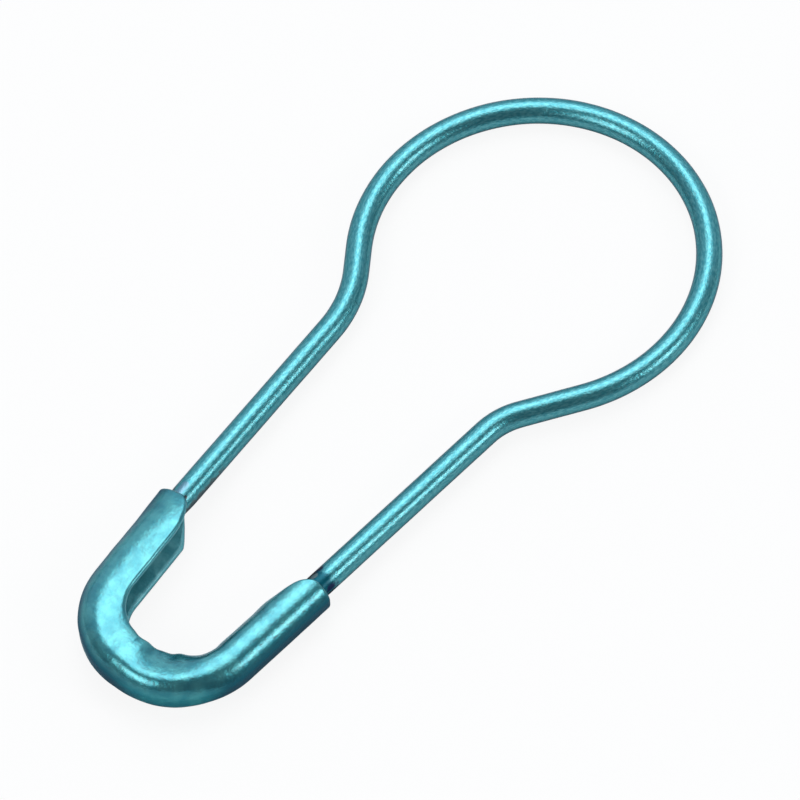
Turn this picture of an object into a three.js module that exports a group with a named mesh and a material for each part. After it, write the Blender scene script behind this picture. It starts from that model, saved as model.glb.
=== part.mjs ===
// Bulb safety pin: one bent spring wire with a point, and one folded sheet-metal cap.
// Millimetres. The pin lies flat, with +Y from the cap up to the bulb and +Z out of its face.
import * as THREE from 'three';

// Driving dimensions of the whole pin
const PIN_LENGTH = 22;
const BULB_WIDTH = 10;
const WIRE_DIAMETER = 0.7;

// Legs, measured at the height of the open mouth of the cap
const PIN_LEG_OFFSET = 2.18;
const FIXED_LEG_OFFSET = 2.36;
const PIN_LEG_LEAN = 4.3;
const FIXED_LEG_LEAN = 2.4;

// Shoulders and necks between the bulb and the legs, with angles from the crown in degrees
const PIN_SHOULDER_ANGLE = 125.6;
const FIXED_SHOULDER_ANGLE = 122.9;
const PIN_NECK_RADIUS = 3.6;
const FIXED_NECK_RADIUS = 2;

// Flexing place at the pin leg's neck, where the leg is parted from the bow
const NECK_STRAIGHT = 0.15;
const NECK_CLEARANCE = 0.02;

// Point of the pin leg
const TIP_HEIGHT = 2.95;
const POINT_TAPER = 2.6;
const POINT_FULLNESS = 1.5;
const TIP_RADIUS = 0.04;

// Sheet of the cap and the height of its two mouths above its foot
const SHEET = 0.2;
const OPEN_MOUTH_HEIGHT = 5.25;
const CRIMP_MOUTH_HEIGHT = 5.5;
const FIXED_END_HEIGHT = 2.35;
const FOOT_CORNER_RADIUS = 2.3;
const FOOT_FLAT = 0.17;
const CHANNEL_TOE_IN = 2.2;
const REST_GAP = 0.02;
const CRIMP_GAP = 0.04;
const SEAM_GAP = 0.04;

// Open channel, pinched foot and crimped tube of the cap
const CHANNEL_THICKNESS = 1.3;
const CHANNEL_SHOULDER = 0.9;
const CHANNEL_DEPTH = 1.28;
const CHANNEL_MOUTH_DEPTH = 0.6;
const CHANNEL_CORNER = 1.3;
const FOOT_THICKNESS = 1.2;
const FOOT_SHOULDER = 0.3;
const FOOT_DEPTH = 1.38;
const FOOT_LIP_SWEEP = 112;
const FOOT_LIP_HOLD = 1.6;
const CRIMP_DEPTH = 1.2;
const CRIMP_MOUTH_DEPTH = 0.3;
const CRIMP_CORNER = 1.6;
const CRIMP_LIP_SWEEP = 90;
const CRIMP_LIP_HOLD = 1.5;
const LEAST_FLANGE = 0.06;

// Share of each foot corner that the fold goes round before it changes form
const FOOT_START = 0.3;
const CRIMP_START = 0.35;

// Fineness of the facets
const WIRE_SIDES = 14;
const ARC_STEP = THREE.MathUtils.degToRad(8);
const CUP_RINGS = 4;
const POINT_STEPS = 8;
const POINT_CROWDING = 1.5;
const WALL_STEPS = 10;
const LIP_STEPS = 6;
const MOUTH_STEPS = 6;
const LEG_STEPS = 3;

const wireRadius = WIRE_DIAMETER / 2;
const tubeRadius = wireRadius + CRIMP_GAP + SHEET;
const closedLip = SHEET + SEAM_GAP / 2;
const footLevel = -PIN_LENGTH / 2;
const bulbRadius = BULB_WIDTH / 2 - wireRadius;
const bulbCentre = new THREE.Vector2(0, PIN_LENGTH / 2 - BULB_WIDTH / 2);
const wireLevel = CHANNEL_THICKNESS / 2;

const lacquer = new THREE.MeshStandardMaterial({ color: 0x2f9aac, roughness: 0.36, metalness: 0.9 });
const brushedLacquer = new THREE.MeshStandardMaterial({ color: 0x3aa7b8, roughness: 0.45, metalness: 0.9 });

// A straight line in plan, by a point on it and a unit direction
function lineThrough(point, direction) {
  return { point, direction: direction.clone().normalize() };
}

function along(line, distance) {
  return line.point.clone().addScaledVector(line.direction, distance);
}

function atHeight(line, y) {
  return along(line, (y - line.point.y) / line.direction.y);
}

function meeting(first, second) {
  const gap = second.point.clone().sub(first.point);
  const spread = first.direction.cross(second.direction);
  return along(first, gap.cross(second.direction) / spread);
}

// Leg centre lines, pointing down: side is -1 for the pin leg and 1 for the fixed leg
function legLine(side, offset, leanDegrees) {
  const lean = THREE.MathUtils.degToRad(leanDegrees);
  const down = new THREE.Vector2(-side * Math.sin(lean), -Math.cos(lean));
  return lineThrough(new THREE.Vector2(side * offset, footLevel + OPEN_MOUTH_HEIGHT), down);
}

const pinLeg = legLine(-1, PIN_LEG_OFFSET, PIN_LEG_LEAN);
const fixedLeg = legLine(1, FIXED_LEG_OFFSET, FIXED_LEG_LEAN);

// The line that leaves the bulb's circle at an angle from the crown
function shoulderLine(side, angleDegrees) {
  const angle = THREE.MathUtils.degToRad(angleDegrees);
  const start = new THREE.Vector2(side * Math.sin(angle), Math.cos(angle));
  start.multiplyScalar(bulbRadius).add(bulbCentre);
  return lineThrough(start, new THREE.Vector2(side * Math.cos(angle), -Math.sin(angle)));
}

// Rounds the corner between an arriving and a leaving direction
function roundCorner(corner, arriving, leaving, radius) {
  const turn = Math.atan2(arriving.cross(leaving), arriving.dot(leaving));
  const reach = cornerReach(turn, radius);
  const start = corner.clone().addScaledVector(arriving, -reach);
  const end = corner.clone().addScaledVector(leaving, reach);
  const side = Math.sign(turn);
  const centre = new THREE.Vector2(-arriving.y, arriving.x).multiplyScalar(side * radius).add(start);
  return { start, end, centre, radius, clockwise: turn < 0 };
}

function cornerReach(turn, radius) {
  return radius * Math.tan(Math.abs(turn) / 2);
}

function cornerArc(corner) {
  const from = Math.atan2(corner.start.y - corner.centre.y, corner.start.x - corner.centre.x);
  const to = Math.atan2(corner.end.y - corner.centre.y, corner.end.x - corner.centre.x);
  return arcCurve(corner.centre, corner.radius, from, to, corner.clockwise);
}

function arcCurve(centre, radius, from, to, clockwise) {
  return new THREE.EllipseCurve(centre.x, centre.y, radius, radius, from, to, clockwise);
}

// Wire path: up the fixed leg, over the bulb and down to the pin leg's neck
const fixedShoulder = shoulderLine(1, FIXED_SHOULDER_ANGLE);
const pinShoulder = shoulderLine(-1, PIN_SHOULDER_ANGLE);
const upFixedLeg = fixedLeg.direction.clone().negate();
const upFixedShoulder = fixedShoulder.direction.clone().negate();
const fixedCorner = meeting(fixedLeg, fixedShoulder);
const pinCorner = meeting(pinLeg, pinShoulder);
const fixedNeck = roundCorner(fixedCorner, upFixedLeg, upFixedShoulder, FIXED_NECK_RADIUS);
const pinNeck = roundCorner(pinCorner, pinShoulder.direction, pinLeg.direction, PIN_NECK_RADIUS);
const hingePoint = pinNeck.end.clone().addScaledVector(pinLeg.direction, NECK_STRAIGHT);

function bowCurves() {
  const foot = atHeight(fixedLeg, footLevel + FIXED_END_HEIGHT);
  const from = Math.PI / 2 - THREE.MathUtils.degToRad(FIXED_SHOULDER_ANGLE);
  const to = Math.PI / 2 + THREE.MathUtils.degToRad(PIN_SHOULDER_ANGLE);
  return [
    new THREE.LineCurve(foot, fixedNeck.start),
    cornerArc(fixedNeck),
    new THREE.LineCurve(fixedNeck.end, fixedShoulder.point),
    arcCurve(bulbCentre, bulbRadius, from, to, false),
    new THREE.LineCurve(pinShoulder.point, pinNeck.start),
    cornerArc(pinNeck),
    new THREE.LineCurve(pinNeck.end, hingePoint),
  ];
}

// Points with tangents down a row of curves: the ends of each line, and even steps round each arc
function arcSteps(arc) {
  return Math.ceil(arc.getLength() / arc.xRadius / ARC_STEP);
}

function stationsOf(curves) {
  const stations = [];
  curves.forEach((curve, index) => {
    const steps = curve instanceof THREE.EllipseCurve ? arcSteps(curve) : 1;
    for (let step = index === 0 ? 0 : 1; step <= steps; step += 1) {
      stations.push({ point: curve.getPoint(step / steps), tangent: curve.getTangent(step / steps) });
    }
  });
  return stations;
}

// Skins rings of equal count into one closed body, with a point to close each end
function skinRings(rings, startPoint, endPoint) {
  const positions = [];
  const triangles = [];
  const count = rings[0].length;
  rings.forEach((ring) => ring.forEach((point) => positions.push(point.x, point.y, point.z)));
  const vertex = (ring, place) => ring * count + (place % count);
  for (let ring = 0; ring + 1 < rings.length; ring += 1) {
    for (let place = 0; place < count; place += 1) {
      triangles.push(vertex(ring, place), vertex(ring, place + 1), vertex(ring + 1, place + 1));
      triangles.push(vertex(ring, place), vertex(ring + 1, place + 1), vertex(ring + 1, place));
    }
  }
  const last = rings.length - 1;
  const startIndex = positions.length / 3;
  positions.push(startPoint.x, startPoint.y, startPoint.z);
  positions.push(endPoint.x, endPoint.y, endPoint.z);
  for (let place = 0; place < count; place += 1) {
    triangles.push(startIndex, vertex(0, place + 1), vertex(0, place));
    triangles.push(startIndex + 1, vertex(last, place), vertex(last, place + 1));
  }
  return closedGeometry(positions, triangles);
}

function closedGeometry(positions, triangles) {
  const geometry = new THREE.BufferGeometry();
  geometry.setAttribute('position', new THREE.Float32BufferAttribute(positions, 3));
  geometry.setIndex(triangles);
  geometry.computeVertexNormals();
  return geometry;
}

// A round ring of the wire, set back from a station along its tangent
function wireRing(station, radius, setBack) {
  const across = new THREE.Vector2(-station.tangent.y, station.tangent.x);
  const centre = station.point.clone().addScaledVector(station.tangent, -setBack);
  const ring = [];
  for (let side = 0; side < WIRE_SIDES; side += 1) {
    const angle = (2 * Math.PI * side) / WIRE_SIDES;
    const plan = centre.clone().addScaledVector(across, radius * Math.cos(angle));
    ring.push(new THREE.Vector3(plan.x, plan.y, wireLevel + radius * Math.sin(angle)));
  }
  return ring;
}

// Bow: the crimped leg, the bulb and the neck, which ends in a round cup for the pin leg's head
function bowGeometry() {
  const stations = stationsOf(bowCurves());
  const neck = stations.pop();
  const cupRadius = wireRadius + NECK_CLEARANCE;
  const rimSetBack = Math.sqrt(cupRadius ** 2 - wireRadius ** 2);
  const rimAngle = Math.acos(rimSetBack / cupRadius);
  const rings = stations.map((station) => wireRing(station, wireRadius, 0));
  rings.push(wireRing(neck, wireRadius, rimSetBack));
  for (let step = 1; step < CUP_RINGS; step += 1) {
    const angle = rimAngle * (1 - step / CUP_RINGS);
    rings.push(wireRing(neck, cupRadius * Math.sin(angle), cupRadius * Math.cos(angle)));
  }
  const foot = new THREE.Vector3(stations[0].point.x, stations[0].point.y, wireLevel);
  const cupPole = neck.point.clone().addScaledVector(neck.tangent, -cupRadius);
  return skinRings(rings, foot, new THREE.Vector3(cupPole.x, cupPole.y, wireLevel));
}

// Pin leg: turned about its own axis, with a round head at the top and a full tapered point
const pinLegLength = hingePoint.distanceTo(atHeight(pinLeg, footLevel + TIP_HEIGHT));

function pointRadius(heightAboveTip) {
  const share = Math.min(1, heightAboveTip / POINT_TAPER);
  return TIP_RADIUS + (wireRadius - TIP_RADIUS) * (1 - (1 - share) ** POINT_FULLNESS);
}

function pinLegGeometry() {
  const profile = [new THREE.Vector2(0, -pinLegLength)];
  for (let step = 0; step <= POINT_STEPS; step += 1) {
    const above = POINT_TAPER * (step / POINT_STEPS) ** POINT_CROWDING;
    const lift = step === 0 ? TIP_RADIUS / 2 : above;
    profile.push(new THREE.Vector2(pointRadius(above), -pinLegLength + lift));
  }
  for (let step = 0; step <= CUP_RINGS; step += 1) {
    const angle = (Math.PI / 2) * (step / CUP_RINGS);
    const radius = step === CUP_RINGS ? 0 : wireRadius * Math.cos(angle);
    profile.push(new THREE.Vector2(radius, wireRadius * Math.sin(angle)));
  }
  return new THREE.LatheGeometry(profile, WIRE_SIDES);
}

// Outer line of the cap in plan: down outside the point, round the foot and up outside the crimp
function outward(line, side) {
  return new THREE.Vector2(-line.direction.y, line.direction.x).multiplyScalar(side);
}

function channelLine() {
  const seat = wireRadius + REST_GAP + SHEET;
  const start = pinLeg.point.clone().addScaledVector(outward(pinLeg, -1), seat);
  const toeIn = THREE.MathUtils.degToRad(CHANNEL_TOE_IN);
  return lineThrough(start, pinLeg.direction.clone().rotateAround(new THREE.Vector2(), toeIn));
}

function crimpLine() {
  const start = fixedLeg.point.clone().addScaledVector(outward(fixedLeg, 1), tubeRadius);
  return lineThrough(start, fixedLeg.direction);
}

function capCurves() {
  const channel = channelLine();
  const crimp = crimpLine();
  const foot = lineThrough(new THREE.Vector2(0, footLevel), new THREE.Vector2(1, 0));
  const upCrimp = crimp.direction.clone().negate();
  const channelCorner = meeting(channel, foot);
  const crimpCorner = meeting(crimp, foot);
  const crimpTurn = Math.acos(foot.direction.dot(upCrimp));
  const pinTurn = Math.acos(channel.direction.dot(foot.direction));
  const crimpReach = cornerReach(crimpTurn, FOOT_CORNER_RADIUS);
  const pinReach = channelCorner.distanceTo(crimpCorner) - crimpReach - FOOT_FLAT;
  const pinRadius = pinReach / Math.tan(pinTurn / 2);
  const pinBend = roundCorner(channelCorner, channel.direction, foot.direction, pinRadius);
  const crimpBend = roundCorner(crimpCorner, foot.direction, upCrimp, FOOT_CORNER_RADIUS);
  return {
    openMouth: atHeight(channel, footLevel + OPEN_MOUTH_HEIGHT),
    crimpMouth: atHeight(crimp, footLevel + CRIMP_MOUTH_HEIGHT),
    pinArc: cornerArc(pinBend),
    crimpArc: cornerArc(crimpBend),
    pinRoot: pinBend.start,
    crimpRoot: crimpBend.end,
  };
}

// The three forms that the fold takes, from the open channel to the crimped tube
const channelForm = {
  half: CHANNEL_THICKNESS / 2,
  lipHalf: CHANNEL_THICKNESS / 2,
  shoulder: CHANNEL_SHOULDER,
  depth: CHANNEL_DEPTH,
  sweep: FOOT_LIP_SWEEP,
  hold: FOOT_LIP_HOLD,
};
const footForm = {
  half: FOOT_THICKNESS / 2,
  lipHalf: closedLip,
  shoulder: FOOT_SHOULDER,
  depth: FOOT_DEPTH,
  sweep: FOOT_LIP_SWEEP,
  hold: FOOT_LIP_HOLD,
};
const crimpForm = {
  half: tubeRadius,
  lipHalf: closedLip,
  shoulder: tubeRadius,
  depth: CRIMP_DEPTH,
  sweep: CRIMP_LIP_SWEEP,
  hold: CRIMP_LIP_HOLD,
};

function blendForms(first, second, share) {
  const weight = THREE.MathUtils.smoothstep(share, 0, 1);
  const form = {};
  Object.keys(first).forEach((key) => {
    form[key] = THREE.MathUtils.lerp(first[key], second[key], weight);
  });
  return form;
}

// Height and slope of the fold's outer face past its rounded wall
function lipFace(form, depth) {
  const length = form.depth - form.shoulder;
  const share = (depth - form.shoulder) / length;
  const sweep = THREE.MathUtils.degToRad(form.sweep);
  const turn = sweep * share ** form.hold;
  const drop = (form.half - form.lipHalf) / (1 - Math.cos(sweep));
  const height = form.half - drop * (1 - Math.cos(turn));
  const slope = (drop * Math.sin(turn) * sweep * form.hold * share ** (form.hold - 1)) / length;
  return { height, slope };
}

// Outer and inner face of half of the fold at a depth from its outermost line
function foldFaces(form, depth) {
  if (depth < form.shoulder) {
    const angle = Math.asin(1 - depth / form.shoulder);
    const innerDepth = form.shoulder - (form.shoulder - SHEET) * Math.sin(angle);
    return {
      outer: [depth, form.half * Math.cos(angle)],
      inner: [innerDepth, (form.half - SHEET) * Math.cos(angle)],
    };
  }
  const face = lipFace(form, depth);
  const wall = SHEET * Math.sqrt(1 + face.slope ** 2);
  return { outer: [depth, face.height], inner: [depth, Math.max(face.height - wall, SEAM_GAP / 2)] };
}

// Half of the fold's section, from its lip to its outermost line
function halfSection(form, lipDepth) {
  const wallStart = Math.min(form.shoulder, lipDepth - LEAST_FLANGE);
  const startAngle = Math.asin(1 - wallStart / form.shoulder);
  const depths = [];
  for (let step = LIP_STEPS; step > 0; step -= 1) {
    depths.push(wallStart + ((lipDepth - wallStart) * step) / LIP_STEPS);
  }
  const quarter = WALL_STEPS / 2;
  for (let step = 0; step <= quarter; step += 1) {
    const angle = startAngle + (Math.PI / 2 - startAngle) * (step / quarter);
    depths.push(form.shoulder * (1 - Math.sin(angle)));
  }
  return depths.map((depth) => foldFaces(form, depth));
}

function wholeSection(form, lipDepth) {
  const upper = halfSection(form, lipDepth);
  const flip = ([depth, height]) => [depth, -height];
  const lower = upper.slice(0, -1).reverse();
  return upper.concat(lower.map((pair) => ({ outer: flip(pair.outer), inner: flip(pair.inner) })));
}

// Depth of the lip near a mouth, where its corner is rounded off
function roundedDepth(mouthDepth, fullDepth, corner, distance) {
  const share = 1 - Math.min(1, distance / corner);
  return mouthDepth + (fullDepth - mouthDepth) * Math.sqrt(1 - share ** 2);
}

// Stations down one straight leg of the cap, closer together where its corner is rounded
function legStations(mouth, root, form, mouthDepth, corner) {
  const tangent = root.clone().sub(mouth).normalize();
  const length = mouth.distanceTo(root);
  const distances = [];
  for (let step = 0; step <= MOUTH_STEPS; step += 1) {
    distances.push(corner * (1 - Math.cos((Math.PI / 2) * (step / MOUTH_STEPS))));
  }
  for (let step = 1; step < LEG_STEPS; step += 1) {
    distances.push(corner + ((length - corner) * step) / LEG_STEPS);
  }
  return distances.map((distance) => ({
    point: mouth.clone().addScaledVector(tangent, distance),
    tangent,
    form,
    lipDepth: roundedDepth(mouthDepth, form.depth, corner, distance),
  }));
}

// Stations round one corner of the foot, from one form to the next past a share of the corner
function arcStations(arc, first, second, held) {
  const steps = arcSteps(arc);
  const stations = [];
  for (let step = 0; step <= steps; step += 1) {
    const share = step / steps;
    const form = blendForms(first, second, (share - held) / (1 - held));
    const point = arc.getPoint(share);
    stations.push({ point, tangent: arc.getTangent(share), form, lipDepth: form.depth });
  }
  return stations;
}

function capStations() {
  const cap = capCurves();
  const down = legStations(cap.openMouth, cap.pinRoot, channelForm, CHANNEL_MOUTH_DEPTH, CHANNEL_CORNER);
  const up = legStations(cap.crimpMouth, cap.crimpRoot, crimpForm, CRIMP_MOUTH_DEPTH, CRIMP_CORNER);
  const upwards = up.reverse().map((station) => ({ ...station, tangent: station.tangent.clone().negate() }));
  const pinBend = arcStations(cap.pinArc, channelForm, footForm, FOOT_START);
  const crimpBend = arcStations(cap.crimpArc, footForm, crimpForm, CRIMP_START);
  return [...down, ...pinBend, ...crimpBend, ...upwards];
}

// Cap: the sheet is one closed shell, lofted through its folded sections along the outer line
function capGeometry() {
  const positions = [];
  const triangles = [];
  const stations = capStations();
  let count = 0;
  stations.forEach((station) => {
    const inwards = new THREE.Vector2(-station.tangent.y, station.tangent.x);
    const section = wholeSection(station.form, station.lipDepth);
    count = section.length;
    const loop = [...section.map((pair) => pair.outer), ...section.map((pair) => pair.inner).reverse()];
    loop.forEach(([depth, height]) => {
      const plan = station.point.clone().addScaledVector(inwards, depth);
      positions.push(plan.x, plan.y, wireLevel + height);
    });
  });
  const around = 2 * count;
  const vertex = (row, place) => row * around + (place % around);
  for (let row = 0; row + 1 < stations.length; row += 1) {
    for (let place = 0; place < around; place += 1) {
      triangles.push(vertex(row, place), vertex(row, place + 1), vertex(row + 1, place + 1));
      triangles.push(vertex(row, place), vertex(row + 1, place + 1), vertex(row + 1, place));
    }
  }
  const last = stations.length - 1;
  for (let place = 0; place + 1 < count; place += 1) {
    const back = around - 1 - place;
    triangles.push(vertex(0, place), vertex(0, back), vertex(0, back - 1));
    triangles.push(vertex(0, place), vertex(0, back - 1), vertex(0, place + 1));
    triangles.push(vertex(last, place), vertex(last, back - 1), vertex(last, back));
    triangles.push(vertex(last, place), vertex(last, place + 1), vertex(last, back - 1));
  }
  return closedGeometry(positions, triangles);
}

function namedMesh(name, geometry, material) {
  const mesh = new THREE.Mesh(geometry, material);
  mesh.name = name;
  return mesh;
}

const pin = new THREE.Group();
pin.add(namedMesh('wire_bow', bowGeometry(), lacquer));
pin.add(namedMesh('cap', capGeometry(), brushedLacquer));

const pinArm = namedMesh('pin_arm', pinLegGeometry(), lacquer);
pinArm.position.set(hingePoint.x, hingePoint.y, wireLevel);
pinArm.rotation.z = THREE.MathUtils.degToRad(PIN_LEG_LEAN);
pin.add(pinArm);

export default pin;
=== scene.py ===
"""Looks of a bulb safety pin: one bent spring wire and one folded sheet cap, under teal lacquer.

Metres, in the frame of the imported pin: +Y from the cap up to the bulb, +Z out of its face.
"""
import math

import bmesh
import bpy
import numpy as np
from mathutils import Matrix, Vector, noise


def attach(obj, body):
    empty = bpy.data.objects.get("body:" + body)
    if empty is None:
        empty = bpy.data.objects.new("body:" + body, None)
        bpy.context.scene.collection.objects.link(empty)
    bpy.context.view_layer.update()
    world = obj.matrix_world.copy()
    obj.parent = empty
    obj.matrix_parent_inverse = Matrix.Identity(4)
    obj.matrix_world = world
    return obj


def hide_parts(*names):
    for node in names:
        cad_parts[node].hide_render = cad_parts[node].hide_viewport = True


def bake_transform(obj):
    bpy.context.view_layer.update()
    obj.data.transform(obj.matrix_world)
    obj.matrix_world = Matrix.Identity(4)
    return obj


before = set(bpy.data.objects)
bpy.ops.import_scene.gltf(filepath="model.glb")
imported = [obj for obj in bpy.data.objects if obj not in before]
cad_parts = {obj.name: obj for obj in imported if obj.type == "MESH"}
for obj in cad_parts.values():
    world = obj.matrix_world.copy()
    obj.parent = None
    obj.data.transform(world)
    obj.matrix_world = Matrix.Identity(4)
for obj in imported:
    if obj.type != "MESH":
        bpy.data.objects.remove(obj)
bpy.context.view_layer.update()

MM = 0.001

# Driving dimensions of the whole pin
PIN_LENGTH = 22 * MM
BULB_WIDTH = 10 * MM
WIRE_DIAMETER = 0.7 * MM
SHEET = 0.2 * MM

# Legs, measured at the height of the open mouth of the cap
PIN_LEG_OFFSET = 2.18 * MM
FIXED_LEG_OFFSET = 2.36 * MM
PIN_LEG_LEAN = math.radians(4.3)
FIXED_LEG_LEAN = math.radians(2.4)

# Shoulders and necks between the bulb and the legs, with angles from the crown
PIN_SHOULDER_ANGLE = math.radians(125.6)
FIXED_SHOULDER_ANGLE = math.radians(122.9)
PIN_NECK_RADIUS = 3.6 * MM
FIXED_NECK_RADIUS = 2 * MM

# Point of the pin leg
TIP_HEIGHT = 2.95 * MM
POINT_TAPER = 2.6 * MM
POINT_FULLNESS = 1.5
TIP_RADIUS = 0.04 * MM

# The pin leg bends from above its hinge to below it when it is lifted out, and its mesh starts some
# stations up its neck, so that the bend has room on both sides of the hinge
SPLIT_STATIONS = 8

# Unevenness that the wire keeps from its bending
RIPPLE_DEPTH = 0.008 * MM
RIPPLE_LENGTH = 1.4 * MM
RIPPLE_SEED = 3.0

# Heights of the cap above its foot, and its clearances
OPEN_MOUTH_HEIGHT = 5.25 * MM
CRIMP_MOUTH_HEIGHT = 5.5 * MM
FIXED_END_HEIGHT = 2.35 * MM
FOOT_CORNER_RADIUS = 2.6 * MM
FOOT_FLAT = 0.17 * MM
CHANNEL_TOE_IN = math.radians(2.2)
REST_GAP = 0.02 * MM
CRIMP_GAP = 0.04 * MM
SEAM_GAP = 0.04 * MM

# Mouths of the open channel and of the crimped tube. A corner's fullness is 1 where it is cut straight
# and 2 where it is round: the channel's lower flange is cut back, and its upper one is round
CHANNEL_THICKNESS = 1.3 * MM
CHANNEL_MOUTH_DEPTH = 0.6 * MM
CHANNEL_CORNER = 1.3 * MM
LOWER_CORNER = 0.9 * MM
UPPER_FULLNESS = 2.0
LOWER_FULLNESS = 1.15
CRIMP_MOUTH_DEPTH = 0.3 * MM
CRIMP_CORNER = 1.6 * MM

# Fineness of the meshes
WIRE_SIDES = 32
WIRE_STEP = 0.12 * MM
CAP_STEP = 0.06 * MM
WALL_STEPS = 20
FLANGE_STEPS = 12
EDGE_STEPS = 4

WIRE_RADIUS = WIRE_DIAMETER / 2
TUBE_RADIUS = WIRE_RADIUS + CRIMP_GAP + SHEET
CLOSED_LIP = SHEET + SEAM_GAP / 2
FOOT_LEVEL = -PIN_LENGTH / 2
BULB_RADIUS = BULB_WIDTH / 2 - WIRE_RADIUS
BULB_CENTRE = np.array([0, PIN_LENGTH / 2 - BULB_WIDTH / 2])
WIRE_LEVEL = CHANNEL_THICKNESS / 2


def along(line, distance):
    point, direction = line
    return point + distance * direction


def at_height(line, y):
    point, direction = line
    return along(line, (y - point[1]) / direction[1])


def meeting(first, second):
    sides = np.column_stack([first[1], -second[1]])
    return along(first, np.linalg.solve(sides, second[0] - first[0])[0])


def leg_line(side, offset, lean):
    """A leg's centre line, pointing down: side is -1 for the pin leg and 1 for the fixed leg."""
    down = np.array([-side * math.sin(lean), -math.cos(lean)])
    return np.array([side * offset, FOOT_LEVEL + OPEN_MOUTH_HEIGHT]), down


def shoulder_line(side, angle):
    """The line that leaves the bulb's circle at an angle from the crown."""
    start = BULB_CENTRE + BULB_RADIUS * np.array([side * math.sin(angle), math.cos(angle)])
    return start, np.array([side * math.cos(angle), -math.sin(angle)])


def turned_left(direction):
    return np.array([-direction[1], direction[0]])


def corner_turn(arriving, leaving):
    cross = arriving[0] * leaving[1] - arriving[1] * leaving[0]
    return math.atan2(cross, arriving @ leaving)


def straight(start, end, step):
    """Stations along a line, each with its place and heading in plan."""
    length = np.linalg.norm(end - start)
    heading = (end - start) / length
    shares = np.linspace(0, 1, max(2, math.ceil(length / step) + 1))
    return [(start + share * (end - start), heading) for share in shares]


def arc(start, heading, radius, turn, step):
    """Stations round an arc that starts at a place and heading and turns left where turn is positive."""
    side = math.copysign(1, turn)
    centre = start + side * radius * turned_left(heading)
    stations = []
    for share in np.linspace(0, 1, math.ceil(abs(turn) * radius / step) + 1):
        angle = share * turn
        ahead = math.cos(angle) * heading + math.sin(angle) * turned_left(heading)
        stations.append((centre - side * radius * turned_left(ahead), ahead))
    return stations


def rounded(corner, arriving, leaving, radius, step):
    """The arc that rounds a corner between two headings."""
    turn = corner_turn(arriving, leaving)
    start = corner - radius * math.tan(abs(turn) / 2) * arriving
    return arc(start, arriving, radius, turn, step)


def joined(*stretches):
    """Stretches of stations as one row, without the doubled stations where they meet."""
    row = list(stretches[0])
    for stretch in stretches[1:]:
        row += stretch[1:]
    return row


pin_leg = leg_line(-1, PIN_LEG_OFFSET, PIN_LEG_LEAN)
fixed_leg = leg_line(1, FIXED_LEG_OFFSET, FIXED_LEG_LEAN)


def neck(leg, shoulder, up, radius):
    """The arc between a leg and the bulb's shoulder, drawn up the pin or down it."""
    sign = -1 if up else 1
    headings = (sign * leg[1], sign * shoulder[1]) if up else (shoulder[1], leg[1])
    return rounded(meeting(leg, shoulder), *headings, radius, WIRE_STEP)


fixed_shoulder = shoulder_line(1, FIXED_SHOULDER_ANGLE)
pin_shoulder = shoulder_line(-1, PIN_SHOULDER_ANGLE)
fixed_neck = neck(fixed_leg, fixed_shoulder, True, FIXED_NECK_RADIUS)
pin_neck = neck(pin_leg, pin_shoulder, False, PIN_NECK_RADIUS)


def bow_stations():
    """The bow's centre line, from the wire's crimped end up round the bulb to the pin leg's neck."""
    bulb_turn = FIXED_SHOULDER_ANGLE + PIN_SHOULDER_ANGLE
    return joined(
        straight(at_height(fixed_leg, FOOT_LEVEL + FIXED_END_HEIGHT), fixed_neck[0][0], WIRE_STEP),
        fixed_neck,
        straight(fixed_neck[-1][0], fixed_shoulder[0], WIRE_STEP),
        arc(fixed_shoulder[0], -fixed_shoulder[1], BULB_RADIUS, bulb_turn, WIRE_STEP),
        straight(pin_shoulder[0], pin_neck[0][0], WIRE_STEP),
        pin_neck[:-SPLIT_STATIONS],
    )


def pin_leg_stations():
    """The pin leg's centre line, from within its neck down to the point."""
    leg_end = at_height(pin_leg, FOOT_LEVEL + TIP_HEIGHT)
    return joined(pin_neck[-SPLIT_STATIONS - 1:], straight(pin_neck[-1][0], leg_end, WIRE_STEP))


def run_length(stations):
    """Length of the wire through its stations."""
    places = [place for place, _ in stations]
    return sum(np.linalg.norm(ahead - place) for place, ahead in zip(places, places[1:]))


def add_node(tree, kind, inputs=None, **settings):
    """A node with its settings, and with its inputs linked or set. Inputs are named or numbered."""
    node = tree.nodes.new(kind)
    for name, value in settings.items():
        setattr(node, name, value)
    for name, value in (inputs or {}).items():
        socket = node.inputs[name]
        if isinstance(value, bpy.types.NodeSocket):
            tree.links.new(value, socket)
        else:
            socket.default_value = value
    return node


def maths(tree, operation, *values, clamp=False):
    inputs = dict(enumerate(values))
    node = add_node(tree, "ShaderNodeMath", inputs, operation=operation, use_clamp=clamp)
    return node.outputs[0]


def smooth_step(tree, value, low, high):
    node = add_node(tree, "ShaderNodeMapRange", {"Value": value, "From Min": low, "From Max": high})
    node.interpolation_type = "SMOOTHSTEP"
    return node.outputs["Result"]


def new_geometry_tree(name, inputs):
    """A geometry tree with named inputs: each is a socket type and a first value."""
    tree = bpy.data.node_groups.new(name, "GeometryNodeTree")
    tree.interface.new_socket("Geometry", in_out="INPUT", socket_type="NodeSocketGeometry")
    tree.interface.new_socket("Geometry", in_out="OUTPUT", socket_type="NodeSocketGeometry")
    for label, (kind, value) in inputs.items():
        socket = tree.interface.new_socket(label, in_out="INPUT", socket_type=kind)
        if value is not None:
            socket.default_value = value
    return tree, tree.nodes.new("NodeGroupInput").outputs


def finish_tree(tree, geometry, material):
    """Ends a geometry tree in real geometry with its material."""
    real = add_node(tree, "GeometryNodeRealizeInstances", {"Geometry": geometry})
    dressed = add_node(tree, "GeometryNodeSetMaterial", {
        "Geometry": real.outputs[0], "Material": material,
    })
    add_node(tree, "NodeGroupOutput", {"Geometry": dressed.outputs[0]})


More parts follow.
